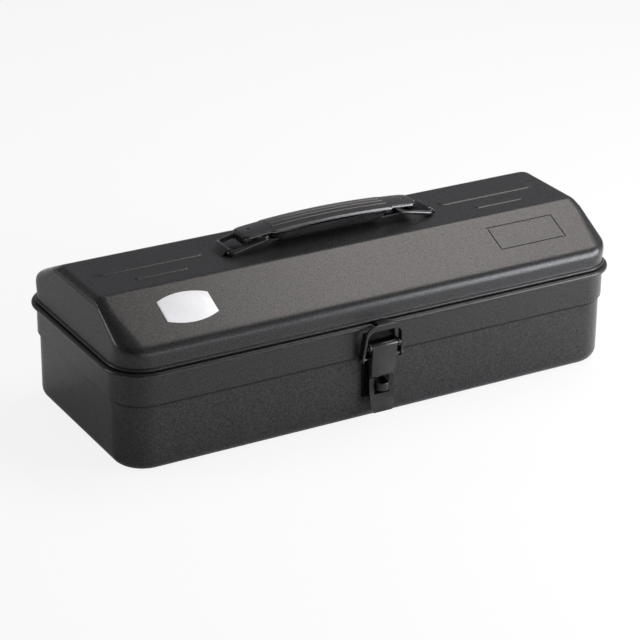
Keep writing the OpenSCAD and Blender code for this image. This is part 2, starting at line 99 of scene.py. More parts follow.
def startMaterial(name):
    material = bpy.data.materials.new(name)
    material.use_nodes = True
    material.node_tree.nodes.clear()
    wire = Wire(material.node_tree)
    coords = wire.node("ShaderNodeTexCoord", output="Object")
    return material, wire, coords


def noise(wire, coords, size, detail=2.0, rough=0.55):  # size is one grain across
    return wire.node("ShaderNodeTexNoise", {"noise_dimensions": "3D"},
                     {"Vector": coords, "Scale": 1 / size, "Detail": detail, "Roughness": rough})


def ramp(wire, value, stops):  # 0 up to the first stop, 1 from the second
    return wire.node("ShaderNodeValToRGB", {"stops": stops}, {"Fac": value})


def mixColour(wire, factor, first, second):
    return wire.node("ShaderNodeMix", {"data_type": "RGBA"}, {0: factor, 6: first, 7: second}, output=2)


def bump(wire, height, depth, strength):
    return wire.node("ShaderNodeBump", inputs={"Height": height, "Distance": depth, "Strength": strength})


def axis(wire, coords, name):
    return wire.node("ShaderNodeSeparateXYZ", inputs={0: coords}, output=name)


def paintedShadeLine(wire, height, look):  # painted shade: 1 in the open, falling off to a dark line where little light gets in
    away = wire.maths("ABSOLUTE", height - look["creaseUp"], 0) * (1 / look["creaseHalf"])
    return wire.maths("MINIMUM", away * look["creaseDark"] + (1 - look["creaseDark"]), 1)


def endMaterial(material, wire, inputs):
    surface = wire.node("ShaderNodeBsdfPrincipled", inputs=inputs)
    output = wire.tree.nodes.new("ShaderNodeOutputMaterial")
    wire.tree.links.new(surface.socket, output.inputs["Surface"])
    return material


def grey(value, warm=0.0):
    return (value * (1 + warm), value, value * (1 - warm), 1)


paintLook = {
    "low": 0.010, "high": 0.028, "fleck": 0.12, "warm": 0.01,
    "grain": 1.0 * mm, "fine": 0.42 * mm, "cloud": 70 * mm, "grainShare": 0.65, "fineShare": 0.35,
    "toneStops": (0.36, 0.64), "fleckStops": (0.63, 0.72), "fleckFine": 0.6, "fleckGrain": 0.4,
    "fleckShare": 0.7,
    "rough": 0.30, "cloudRough": 0.10, "grainRough": 0.16, "shine": 0.17, "coat": (0.13, 0.49),
    "depth": 0.08 * mm, "strength": 0.8,
    # painted shade line under the step: its height, half width, strength and colour
    "creaseUp": 43.9 * mm, "creaseHalf": 1.0 * mm, "creaseDark": 0.95, "shadeLineColour": 0.5,
}


def crinklePaint(name, look):  # baked black paint with a fine stipple and a painted shade line under the step
    material, wire, coords = startMaterial(name)
    grain = noise(wire, coords, look["grain"], detail=3.0, rough=0.6)
    fine = noise(wire, coords, look["fine"], detail=2.0)
    cloud = noise(wire, coords, look["cloud"], detail=3.0)
    stipple = grain * look["grainShare"] + fine * look["fineShare"]
    tone = ramp(wire, stipple, look["toneStops"])
    base = mixColour(wire, tone, grey(look["low"], look["warm"]), grey(look["high"], look["warm"]))
    flecks = ramp(wire, fine * look["fleckFine"] + grain * look["fleckGrain"], look["fleckStops"])
    base = mixColour(wire, flecks * look["fleckShare"], base, grey(look["fleck"], look["warm"]))
    # painted shade: base colour and coat darken in a thin line along the wall under the step
    daylight = paintedShadeLine(wire, axis(wire, coords, "Z"), look)
    base = mixColour(wire, daylight, grey(look["low"] * look["shadeLineColour"]), base)
    low, high = look["coat"]
    return endMaterial(material, wire, {
        "Base Color": base,
        "Roughness": look["rough"] + (cloud - 0.5) * look["cloudRough"] + (grain - 0.5) * look["grainRough"],
        "Coat Weight": (tone * (high - low) + low) * daylight,
        "Coat Roughness": look["rough"],
        "Normal": bump(wire, stipple, look["depth"], look["strength"]),
        "Specular IOR Level": look["shine"],
    })


satinLook = {
    "grainShare": 0.5, "cloudShare": 0.5, "toneStops": (0.35, 0.65), "shade": 0.3,
    "rough": 0.22, "cloudRough": 0.14, "grainRough": 0.08, "strength": 0.4, "shine": 0.08,
}
latchLook = {
    **satinLook, "low": 0.010, "high": 0.022, "grain": 0.7 * mm, "cloud": 9 * mm, "depth": 0.03 * mm,
    # painted shade behind the latch: the wall's distance, the depth of the shaded pocket, and a steep lift to
    # full light at the back
    "coat": 0.50, "wall": 73.8 * mm, "pocket": 3.2 * mm, "backLight": 1000,
}
gripLook = {
    **satinLook, "low": 0.012, "high": 0.026, "grain": 0.6 * mm, "cloud": 16 * mm, "depth": 0.04 * mm,
    # painted shade line under the turned-down edge of the cover, and the arch it follows
    "coat": 0.85, "creaseUp": 110.3 * mm, "creaseHalf": 1.2 * mm, "creaseDark": 1.0, "arch": 600 * mm,
}


def shadeUnderEdge(wire, coords, look):  # painted shade: the dark line under the turned-down edge of the handle follows its arch
    x = axis(wire, coords, "X")
    return paintedShadeLine(wire, axis(wire, coords, "Z") + x * x * (0.5 / look["arch"]), look)


def shadeBehindLatch(wire, coords, look):  # painted shade: in front, the nearer the wall, the darker the hardware is painted, as less light reaches it there
    y = axis(wire, coords, "Y")
    reach = wire.maths("MAXIMUM", (-look["wall"] - y) * (1 / look["pocket"]), y * look["backLight"])
    return ramp(wire, reach, (0.0, 1.0))


def satinPaint(name, look, shadeMask):  # smoother enamel on latch, hinges and handle, with painted shade in base colour and coat from the shade mask
    material, wire, coords = startMaterial(name)
    grain = noise(wire, coords, look["grain"], detail=3.0)
    cloud = noise(wire, coords, look["cloud"], detail=4.0, rough=0.6)
    tone = ramp(wire, grain * look["grainShare"] + cloud * look["cloudShare"], look["toneStops"])
    daylight = shadeMask(wire, coords, look)
    base = mixColour(wire, tone, grey(look["low"]), grey(look["high"]))
    return endMaterial(material, wire, {
        "Base Color": mixColour(wire, daylight, grey(look["low"] * look["shade"]), base),
        "Roughness": look["rough"] + (cloud - 0.5) * look["cloudRough"] + (grain - 0.5) * look["grainRough"],
        "Coat Weight": daylight * look["coat"],
        "Coat Roughness": look["rough"],
        "Normal": bump(wire, grain, look["depth"], look["strength"]),
        "Specular IOR Level": look["shine"],
    })


steelLook = {
    "dull": 0.05, "bright": 0.13, "warm": 0.02, "toneStops": (0.3, 0.7),
    "stretch": (0.05, 1.6, 1.6), "streak": 0.5 * mm, "spot": 2.5 * mm,
    "rough": 0.34, "spotRough": 0.22, "streakRough": 0.1, "depth": 0.02 * mm, "strength": 0.35,
}


def pinSteel(name, look):  # blackened wire, drawn along its length
    material, wire, coords = startMaterial(name)
    along = wire.node("ShaderNodeMapping", inputs={"Vector": coords, "Scale": look["stretch"]})
    streak = noise(wire, along, look["streak"], detail=3.0, rough=0.6)
    spots = noise(wire, coords, look["spot"], detail=3.0)
    return endMaterial(material, wire, {
        "Base Color": mixColour(wire, ramp(wire, streak, look["toneStops"]),
                                grey(look["dull"], look["warm"]), grey(look["bright"], look["warm"])),
        "Metallic": 1.0,
        "Roughness": look["rough"] + (spots - 0.5) * look["spotRough"] + (streak - 0.5) * look["streakRough"],
        "Normal": bump(wire, streak, look["depth"], look["strength"]),
    })


filmLook = {
    "low": 0.80, "high": 0.88, "cool": -0.01, "grain": 0.5 * mm, "cloud": 12 * mm, "grainShare": 0.4,
    "cloudShare": 0.6, "toneStops": (0.35, 0.65), "rough": 0.42, "grainRough": 0.12,
    "depth": 0.05 * mm, "strength": 0.25,
}


def labelFilm(name, look):  # matt white film, blank
    material, wire, coords = startMaterial(name)
    grain = noise(wire, coords, look["grain"], detail=3.0)
    cloud = noise(wire, coords, look["cloud"], detail=2.0)
    tone = ramp(wire, grain * look["grainShare"] + cloud * look["cloudShare"], look["toneStops"])
    return endMaterial(material, wire, {
        "Base Color": mixColour(wire, tone, grey(look["low"], look["cool"]), grey(look["high"])),
        "Roughness": look["rough"] + (grain - 0.5) * look["grainRough"],
        "Normal": bump(wire, cloud, look["depth"], look["strength"]),
    })


bodyPaint = crinklePaint("crinklePaint", paintLook)
latchPaint = satinPaint("latchEnamel", latchLook, shadeBehindLatch)
handlePaint = satinPaint("gripEnamel", gripLook, shadeUnderEdge)
darkSteel = pinSteel("darkSteel", steelLook)
blankFilm = labelFilm("blankFilm", filmLook)
slotFinish = {"body_paint": bodyPaint, "latch_paint": latchPaint, "handle_paint": handlePaint,
              "pin_steel": darkSteel, "label_film": blankFilm}
print("finishes made:", len(slotFinish))


def smoothMesh(mesh, angle=38):
    mesh.shade_smooth()
    mesh.set_sharp_from_angle(angle=math.radians(angle))
    return mesh


def addPiece(name, mesh, body, slot, *stoodFor):
    piece = bpy.data.objects.new(name, mesh)
    scene.collection.objects.link(piece)
    mesh.materials.clear()
    mesh.materials.append(slotFinish[slot])
    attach(piece, body)
    if stoodFor:
        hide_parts(*stoodFor)


def finishMesh(mesh, *modifiers):  # modifiers are (type, settings); the result is a plain mesh
    carrier = bpy.data.objects.new("carrier", mesh)
    scene.collection.objects.link(carrier)
    for kind, settings in modifiers:
        modifier = carrier.modifiers.new(kind, kind)
        for key, value in settings.items():
            setattr(modifier, key, value)
    graph = bpy.context.evaluated_depsgraph_get()
    done = bpy.data.meshes.new_from_object(carrier.evaluated_get(graph))
    bpy.data.objects.remove(carrier)
    return done


def meshFrom(name, points, faces, merge=0.004 * mm):
    mesh = bpy.data.meshes.new(name)
    mesh.from_pydata(points, [], faces)
    tidy = bmesh.new()
    tidy.from_mesh(mesh)
    bmesh.ops.remove_doubles(tidy, verts=tidy.verts, dist=merge)
    bmesh.ops.dissolve_degenerate(tidy, edges=tidy.edges, dist=merge)
    bmesh.ops.recalc_face_normals(tidy, faces=tidy.faces)
    tidy.to_mesh(mesh)
    tidy.free()
    return mesh


def roundedPath(corners, steps=8):  # corners are (across, up, radius); each radius becomes an arc
    path = []
    for index, (across, up, radius) in enumerate(corners):
        here = Vector((across, up))
        if radius == 0 or index in (0, len(corners) - 1):
            path.append(here)
            continue
        back = (Vector(corners[index - 1][:2]) - here).normalized()
        ahead = (Vector(corners[index + 1][:2]) - here).normalized()
        half = back.angle(ahead) / 2
        centre = here + (back + ahead).normalized() * (radius / math.sin(half))
        first = here + back * (radius / math.tan(half)) - centre
        turn = first.angle_signed(here + ahead * (radius / math.tan(half)) - centre)
        for step in range(steps + 1):
            path.append(centre + Matrix.Rotation(-turn * step / steps, 2) @ first)
    return path


def arcPath(across, up, radius, start, end, steps):
    angles = [math.radians(start + (end - start) * step / steps) for step in range(steps + 1)]
    return [Vector((across + radius * math.cos(a), up + radius * math.sin(a))) for a in angles]


def roundedRing(halfX, halfY, reach, height, columns, rows, steps):
    points = []
    for quarter, (sx, sy) in enumerate(((1, 1), (-1, 1), (-1, -1), (1, -1))):
        for step in range(steps + 1):
            angle = (quarter + step / steps) * math.pi / 2
            x, y = reach * math.cos(angle), reach * math.sin(angle)
            points.append((sx * halfX + x, sy * halfY + y, height))
        if quarter in (0, 2):
            for x in columns:
                points.append((-sy * x, sy * (halfY + reach), height))
        else:
            for y in rows:
                points.append((sx * (halfX + reach), sx * y, height))
    return points


def ringFaces(count, rings, closed=False):
    faces = []
    for level in range(rings if closed else rings - 1):
        low, high = level * count, (level + 1) % rings * count
        for k in range(count):
            n = (k + 1) % count
            faces.append((low + k, low + n, high + n, high + k))
    return faces


def evenSteps(start, end, count):
    return [start + (end - start) * (k + 0.5) / count for k in range(count)]


print("tools ready")

# box body: one drawn shell, its section carried round a rounded rectangle
bodyShell = {
    "rimReach": 4.7 * mm, "corner": 21 * mm, "floorBend": 8 * mm, "sheet": 0.8 * mm,
    "stepUp": 45 * mm, "stepOut": 1.5 * mm, "stepTall": 0.5 * mm, "soft": 0.45 * mm,
    "rimUnder": 0.3 * mm, "rimOver": 0.7 * mm, "roll": 1.7 * mm, "curl": -150, "curlSteps": (14, 18),
    "columns": 24, "rows": 8, "cornerSteps": 22,
    "latchX": -2.8 * mm, "notchHalf": 6.6 * mm, "notchOut": 6 * mm, "notchUp": 1 * mm,
    "notches": ((1.3 * mm, 1.8 * mm), (-0.01 * mm, 4.4 * mm)),  # how far in past the wall, how far down
}


def bodySection(size, rimUp):
    r, t = size["corner"], size["sheet"]
    out = r + size["stepOut"]
    step, top = size["stepUp"], size["stepUp"] + size["stepTall"]
    rollX, rollZ = r + size["rimReach"] - size["roll"], rimUp - size["roll"]
    outside = roundedPath([
        (0, 0, 0), (r, 0, size["floorBend"]), (r, step, size["soft"]), (out, top, size["soft"]),
        (out, rimUp - t, size["rimUnder"]), (rollX, rimUp - t, 0)])
    innerCurl = arcPath(rollX, rollZ, size["roll"] - t, 90, size["curl"], size["curlSteps"][0])
    outerCurl = arcPath(rollX, rollZ, size["roll"], size["curl"], 90, size["curlSteps"][1])
    inside = roundedPath([
        (rollX, rimUp, 0), (out - t, rimUp, size["rimOver"]), (out - t, top, size["soft"]),
        (r - t, step, size["soft"]), (r - t, t, size["floorBend"] - t), (0, t, 0)])
    return outside[:-1] + innerCurl + outerCurl + inside[1:]


def cutBlock(low, high):
    points = [(x, y, z) for x in (low[0], high[0]) for y in (low[1], high[1]) for z in (low[2], high[2])]
    faces = [(0, 1, 3, 2), (4, 6, 7, 5), (0, 4, 5, 1), (2, 3, 7, 6), (0, 2, 6, 4), (1, 5, 7, 3)]
    block = bpy.data.objects.new("cutter", meshFrom("cutter", points, faces))
    scene.collection.objects.link(block)
    return block


def makeBody(size):
    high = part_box("box_body")[1]
    halfX = high.x - size["rimReach"] - size["corner"]
    halfY = high.y - size["rimReach"] - size["corner"]
    section = bodySection(size, high.z)
    columns = evenSteps(-halfX, halfX, size["columns"])
    rows = evenSteps(-halfY, halfY, size["rows"])
    points = []
    for reach, height in section:
        points += roundedRing(halfX, halfY, reach, height, columns, rows, size["cornerSteps"])
    count = len(points) // len(section)
    faces = ringFaces(count, len(section))
    faces.append(tuple(reversed(range(count))))
    faces.append(tuple(range(len(points) - count, len(points))))
    mesh = meshFrom("boxBody", points, faces)
    wall = -(halfY + size["corner"] + size["stepOut"])
    left, right = size["latchX"] - size["notchHalf"], size["latchX"] + size["notchHalf"]
    near, above = wall - size["notchOut"], high.z + size["notchUp"]
    cuts = [cutBlock((left, near, high.z - down), (right, wall + deep, above))
            for deep, down in size["notches"]]
    cutting = {"operation": "DIFFERENCE", "solver": "EXACT"}
    mesh = finishMesh(mesh, *[("BOOLEAN", {"object": block, **cutting}) for block in cuts])
    for block in cuts:
        bpy.data.objects.remove(block)
    addPiece("boxBody", smoothMesh(mesh), "body", "body_paint", "box_body")


makeBody(bodyShell)
print("box body done")

# lid: level rings from the lip up to the flat top, then the top itself
lidShell = {
    "lip": 1.5 * mm, "lipRound": 1.0 * mm, "lipSteps": 12,
    "lipFade": ((2.35 * mm, 0.1 * mm), (2.8 * mm, 0), (5 * mm, 0)),  # height over the foot, bulge
    "slopeUp": 80.6 * mm, "topUp": 100.8 * mm, "topDepth": 55.8 * mm, "leanIn": 2.25 * mm, "sheet": 0.8 * mm,
    "edge": 4.5 * mm, "edgeAngles": range(0, 65, 8), "bendRound": 8 * mm, "bendSteps": 14,
    "breakRound": 8 * mm, "breakSteps": 9, "slopeRows": 9, "columns": 40, "columnGap": 1.5 * mm, "rows": 10,
    "footCorner": 21.7 * mm, "bendCorner": 18.5 * mm, "topCorner": 7 * mm, "cornerSteps": 18,
    "fieldX": 122.1 * mm, "fieldUp": 27.4 * mm, "fieldSize": (50 * mm, 20.4 * mm),
    "fieldLine": 1.0 * mm, "fieldCut": 0.45 * mm, "fieldSides": (0.1 * mm, 0.05 * mm),
    "ribX": 122.1 * mm, "ribTall": 0.5 * mm, "ribSide": 0.9 * mm, "ribLead": 0.6 * mm, "ribSpare": 4,
    "ribs": ((72 * mm, 8 * mm, 4 * mm), (36 * mm, 4.5 * mm, -13 * mm)),  # length, width, middle
    "fine": 0.42 * mm, "fineRings": 37, "outerRings": (0.9375, 0.875, 0.75, 0.625),
    "topShrink": 6 * mm, "steady": 150 * mm, "onSlope": 0.02 * mm, "onTop": 0.01 * mm, "smooth": 30,
}


def fieldMarks(size, middle, length):  # both sides of the pressed line, at each end of the field
    line = size["fieldLine"]
    outer, inner = size["fieldSides"]
    sides = (outer, -inner, inner - line, -outer - line)
    return [middle + s * (length / 2 + side) for s in (-1, 1) for side in sides]


def lidLevels(size, halfX, halfY, foot):  # (height, half depth, half length, corner radius)
    slope = math.atan2(size["topUp"] - size["slopeUp"], halfY - size["topDepth"] / 2)
    edge, bend, turn = size["edge"], size["bendRound"], size["breakRound"]
    reach = math.sin(slope) * halfY + math.cos(slope) * size["slopeUp"]
    bendY = halfY - bend
    bendUp = (reach - bend - math.sin(slope) * bendY) / math.cos(slope)
    topUp = size["topUp"] - edge
    turnUp = size["topUp"] - turn
    topY = (reach - turn - math.cos(slope) * turnUp) / math.sin(slope)

    def endAt(z):
        lean = halfX - size["leanIn"] * (z - foot) / (size["topUp"] - foot)
        if z <= topUp:
            return lean
        return halfX - size["leanIn"] - edge + math.sqrt(max(edge ** 2 - (z - topUp) ** 2, 0))

    def cornerAt(z):
        if z <= bendUp:
            change = size["bendCorner"] - size["footCorner"]
            return size["footCorner"] + change * (z - foot) / (bendUp - foot)
        if z <= topUp:
            change = size["topCorner"] - size["bendCorner"]
            return size["bendCorner"] + change * (z - bendUp) / (topUp - bendUp)
        return size["topCorner"] - edge + math.sqrt(max(edge ** 2 - (z - topUp) ** 2, 0))

    levels = []
    lipOut = size["lip"] - size["lipRound"]
    for bulge, rise in arcPath(lipOut, size["lipRound"], size["lipRound"], -90, 90, size["lipSteps"]):
        z = foot + rise
        levels.append((z, halfY + bulge, endAt(z) + bulge, cornerAt(z) + bulge))
    for rise, bulge in size["lipFade"]:
        z = foot + rise
        levels.append((z, halfY + bulge, endAt(z) + bulge, cornerAt(z) + bulge))
    for y, z in arcPath(bendY, bendUp, bend, 0, 90 - math.degrees(slope), size["bendSteps"]):
        levels.append((z, y, endAt(z), cornerAt(z)))
    startUp = levels[-1][0]
    endUp = turnUp + turn * math.cos(slope)
    span = fieldMarks(size, size["fieldUp"], size["fieldSize"][1])
    rows = size["slopeRows"]
    ups = [size["slopeUp"] + s * math.sin(slope) for s in span]
    ups += [startUp + (topUp - startUp) * k / rows for k in range(1, rows)]
    ups += [topUp + edge * math.sin(math.radians(a)) for a in size["edgeAngles"]]
    for z in sorted(u for u in ups if startUp < u < endUp):
        levels.append((z, halfY - (z - size["slopeUp"]) / math.tan(slope), endAt(z), cornerAt(z)))
    for y, z in arcPath(topY, turnUp, turn, 90 - math.degrees(slope), 90, size["breakSteps"]):
        levels.append((z, y, endAt(z), cornerAt(z)))
    return levels, slope, topY


def lidColumns(size, limit):
    fine = size["fine"]
    marks = fieldMarks(size, size["fieldX"], size["fieldSize"][0])
    for length, width, _ in size["ribs"]:
        for s in (-1, 1):
            tip = size["ribX"] + s * length / 2
            count = int(width / 2 / fine) + size["ribSpare"]
            marks += [tip + (k * fine - size["ribLead"]) * -s for k in range(count)]
    marks += [-m for m in marks]
    even = evenSteps(-limit, limit, size["columns"])
    marks += [x for x in even if min(abs(x - m) for m in marks) > size["columnGap"]]
    return sorted(marks)


def pressed(size, point, slope, halfY):  # how far the press moves a point, and which way
    x, y, z = point
    up = (z - size["slopeUp"]) / math.sin(slope)
    off = abs((halfY + y) * math.sin(slope) - (z - size["slopeUp"]) * math.cos(slope))
    if y < 0 and off < size["onSlope"]:
        long, tall = (s / 2 for s in size["fieldSize"])
        away = max(abs(x - size["fieldX"]) - long, abs(up - size["fieldUp"]) - tall)
        if -size["fieldLine"] < away < 0:
            return Vector((0, math.sin(slope), -math.cos(slope))) * size["fieldCut"]
    if z > size["topUp"] - size["onTop"]:
        for length, width, middle in size["ribs"]:
            run = max(abs(abs(x) - size["ribX"]) - (length - width) / 2, 0)
            depth = width / 2 - math.hypot(run, y - middle)
            rise = min(max(depth / size["ribSide"], 0), 1)
            if rise > 0:
                return Vector((0, 0, size["ribTall"] * rise * rise * (3 - 2 * rise)))
    return Vector()


def makeLid(size):
    low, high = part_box("lid_shell")
    halfX, halfY, foot = high.x - size["lip"], high.y - size["lip"], low.z
    levels, slope, topY = lidLevels(size, halfX, halfY, foot)
    steady = size["steady"]  # columns further out than this move in with the corners
    limit = halfX - size["leanIn"] - size["edge"]
    columns = lidColumns(size, limit)
    points = []

    def addRing(x, y, z, corner):
        straight = x - corner
        stretch = (straight - steady) / (limit - steady)
        fitted = [c if abs(c) < steady else math.copysign(steady + (abs(c) - steady) * stretch, c)
                  for c in columns]
        rows = evenSteps(corner - y, y - corner, size["rows"])
        points.extend(roundedRing(straight, y - corner, corner, z, fitted, rows, size["cornerSteps"]))

    for z, y, x, corner in levels:
        addRing(x, y, z, corner)
    insets = [topY * share for share in size["outerRings"]]
    insets += [k * size["fine"] for k in range(size["fineRings"], -1, -1)]
    for y in sorted(insets, reverse=True):
        corner = (size["topCorner"] - size["edge"]) * y / topY
        addRing(limit - size["topShrink"] * (1 - y / topY), y, size["topUp"], corner)
    levelCount = len(levels) + len(insets)
    faces = ringFaces(len(points) // levelCount, levelCount)
    points = [tuple(Vector(p) + pressed(size, p, slope, halfY)) for p in points]
    mesh = meshFrom("lidShell", points, faces)
    mesh = finishMesh(mesh, ("SOLIDIFY", {"thickness": size["sheet"], "offset": -1, "use_even_offset": True}))
    addPiece("lidShell", smoothMesh(mesh, size["smooth"]), "lid", "body_paint", "lid_shell")


makeLid(lidShell)
print("lid done")

bodyOf = {node: body for body, members in frame["record"]["behaviour"]["bodies"].items() for node in members}
slotOf = {node: thing.data.materials[0].name.split(".")[0] for node, thing in nodes.items()}


def startTree(name, **inputs):  # a Geometry Nodes tree; each named input gives its socket type
    tree = bpy.data.node_groups.new(name, "GeometryNodeTree")
    for label, kind in inputs.items():
        tree.interface.new_socket(label, in_out="INPUT", socket_type="NodeSocket" + kind)
    tree.interface.new_socket("Finish", in_out="INPUT", socket_type="NodeSocketMaterial")
    tree.interface.new_socket("Geometry", in_out="OUTPUT", socket_type="NodeSocketGeometry")
    wire = Wire(tree)
    source = tree.nodes.new("NodeGroupInput")
    return tree, wire, {label: Wire(tree, source.outputs[label]) for label in [*inputs, "Finish"]}


def endTree(wire, geometry, given):
    smooth = wire.node("GeometryNodeSetShadeSmooth", inputs={"Geometry": geometry})
    real = wire.node("GeometryNodeRealizeInstances", inputs={"Geometry": smooth})
    done = wire.node("GeometryNodeSetMaterial", inputs={"Geometry": real, "Material": given["Finish"]})
    wire.tree.links.new(done.socket, wire.tree.nodes.new("NodeGroupOutput").inputs["Geometry"])


def growMesh(name, tree, slot, **values):
    carrier = bpy.data.objects.new(name, bpy.data.meshes.new(name))
    scene.collection.objects.link(carrier)
    modifier = carrier.modifiers.new(name, "NODES")
    modifier.node_group = tree
    values["Finish"] = slotFinish[slot]
    for item in tree.interface.items_tree:
        if item.in_out == "INPUT" and item.name in values:
            modifier[item.identifier] = values[item.name]
    graph = bpy.context.evaluated_depsgraph_get()
    mesh = bpy.data.meshes.new_from_object(carrier.evaluated_get(graph))
    carrier.modifiers.remove(modifier)
    bpy.data.objects.remove(carrier)
    return mesh


# handle links: bent wire frames, each a filleted rectangle swept with a round section
wireLink = {"pivotX": 73 * mm, "pivotUp": 102.4 * mm, "length": 27.1 * mm, "width": 21 * mm, "wire": 1.5 * mm,
            "bend": 3 * mm, "bendSteps": 10, "sides": 20, "rise": 12.3}


def linkTree(size):
    tree, wire, given = startTree("wireLink", Length="Float", Width="Float", Wire="Float", Bend="Float",
                                  Place="Vector", Turn="Rotation")
    frameCurve = wire.node("GeometryNodeCurvePrimitiveQuadrilateral", {"mode": "RECTANGLE"},
                           {"Width": given["Length"], "Height": given["Width"]})
    bent = wire.node("GeometryNodeFilletCurve", {"mode": "POLY"},
                     {"Curve": frameCurve, "Count": size["bendSteps"], "Radius": given["Bend"]})
    shift = wire.node("ShaderNodeCombineXYZ", inputs={"X": given["Length"] * 0.5})
    hung = wire.node("GeometryNodeTransform", inputs={"Geometry": bent, "Translation": shift})
    placed = wire.node("GeometryNodeTransform", inputs={
        "Geometry": hung, "Translation": given["Place"], "Rotation": given["Turn"]})
    section = wire.node("GeometryNodeCurvePrimitiveCircle", inputs={
        "Resolution": size["sides"], "Radius": given["Wire"]})
    swept = wire.node("GeometryNodeCurveToMesh", inputs={"Curve": placed, "Profile Curve": section})
    endTree(wire, swept, given)
    return tree


def makeLinks(size):
    tree = linkTree(size)
    for side, node, turn in ((-1, "handle_link_left", 0), (1, "handle_link_right", 180)):
        mesh = growMesh(node, tree, "handle_paint", Length=size["length"], Width=size["width"],
                        Wire=size["wire"], Bend=size["bend"],
                        Place=(side * size["pivotX"], 0, size["pivotUp"]),
                        Turn=(0, math.radians(-size["rise"]), math.radians(turn)))
        addPiece(node.replace("handle_link", "wireLink"), mesh, bodyOf[node], "handle_paint", node)


makeLinks(wireLink)
print("links done")

# handle cover: a bowed and arched sheet with turned-down ends and a punched dimple near each end
coverSheet = {
    "archRadius": 600 * mm, "archUp": 111.97 * mm, "crownRadius": 45 * mm, "crownUp": 2.6 * mm,
    "sheet": 1.0 * mm, "soft": 0.2 * mm, "softAngle": 0.9,  # radians
    "halfLength": 62.5 * mm, "wideHalf": 44 * mm, "wide": 10.6 * mm, "tongue": 9.2 * mm, "lip": 6.9 * mm,
    "clip": 32, "lipDown": 2.6 * mm, "bend": 1.2 * mm, "bendSteps": 6, "leadIn": (1.8, 1.4, 1.0),
    "wideSteps": 24, "shoulder": 0.02 * mm, "tongueSteps": 6, "rows": 44,
    "dimpleX": 56 * mm, "dimpleRadius": 3.2 * mm, "dimpleCut": 0.6 * mm,
    "dimpleRoom": 2.4 * mm, "dimplePitch": 0.3 * mm, "dimpleSteps": 15,
    "edgeIn": 0.45 * mm, "edgeDown": 1.3 * mm, "edgeCurve": 0.7,
    "ribs": 3, "ribPitch": 4.4 * mm, "ribWire": 0.85 * mm, "ribSink": 0.5 * mm, "ribHalf": 43.5 * mm,
    "ribPoints": 64, "ribSides": 14, "ribFade": 60, "ribTip": 0.02,
}


def coverPoint(size, along, across):  # along runs past the end and down the lip
    end = size["halfLength"]
    reach = abs(along)
    half = size["wide"] if reach <= size["wideHalf"] else size["tongue"]
    half = min(half, size["lip"] + max(end - reach, 0) * math.tan(math.radians(size["clip"])))
    y = across * half
    flat = end - size["bend"]
    x, down = reach, 0
    if reach > flat:
        turn = min((reach - flat) / size["bend"], math.pi / 2)
        x = flat + size["bend"] * math.sin(turn)
        down = size["bend"] * (1 - math.cos(turn)) + max(reach - flat - size["bend"] * math.pi / 2, 0)
    drop = size["archRadius"] - math.sqrt(size["archRadius"] ** 2 - x ** 2)
    crown = size["crownUp"] - size["crownRadius"] + math.sqrt(size["crownRadius"] ** 2 - y ** 2)
    inset = min((half - abs(y)) / size["edgeIn"], 1)
    crown -= size["edgeDown"] * (1 - max(inset, 0) ** size["edgeCurve"])
    away = math.hypot(x - size["dimpleX"], y)
    ball = size["dimpleRadius"]
    punch = math.sqrt(max(ball ** 2 - away ** 2, 0)) - ball + size["dimpleCut"]
    return (math.copysign(x, along), y, size["archUp"] - drop + crown - down - max(punch, 0))


def coverColumns(size):
    end, wide = size["halfLength"], size["wideHalf"]
    bend, dimple = size["bend"], size["dimpleX"]
    wideSteps, tongueSteps, bendSteps = size["wideSteps"], size["tongueSteps"], size["bendSteps"]
    deep = end - bend + bend * math.pi / 2 + size["crownUp"] + size["lipDown"] - bend
    marks = [wide * k / wideSteps for k in range(wideSteps + 1)] + [wide + size["shoulder"]]
    room = dimple - size["dimpleRoom"] - wide
    marks += [wide + room * k / tongueSteps for k in range(1, tongueSteps + 1)]
    middle = size["dimpleSteps"] // 2
    marks += [dimple + (k - middle) * size["dimplePitch"] for k in range(size["dimpleSteps"])]
    marks += [end - bend * share for share in size["leadIn"]]
    marks += [end - bend + bend * math.pi / 2 * k / bendSteps for k in range(bendSteps + 1)] + [deep]
    return [-m for m in reversed(marks[1:])] + marks


def makeCover(size):
    columns = coverColumns(size)
    rows = [math.sin(math.pi * (k / size["rows"] - 0.5)) for k in range(size["rows"] + 1)]
    points = [coverPoint(size, along, across) for along in columns for across in rows]
    wide = len(rows)
    faces = [(i * wide + k, (i + 1) * wide + k, (i + 1) * wide + k + 1, i * wide + k + 1)
             for i in range(len(columns) - 1) for k in range(wide - 1)]
    mesh = meshFrom("coverSheet", points, faces)
    if max(mesh.polygons, key=lambda face: face.center.z).normal.z < 0:
        mesh.flip_normals()
    mesh = finishMesh(mesh, ("SOLIDIFY", {"thickness": size["sheet"], "offset": -1, "use_even_offset": True}),
                      ("BEVEL", {"width": size["soft"], "segments": 2, "limit_method": "ANGLE",
                                 "angle_limit": size["softAngle"]}))
    addPiece("coverSheet", smoothMesh(mesh), bodyOf["handle_cover"], "handle_paint", "handle_cover")


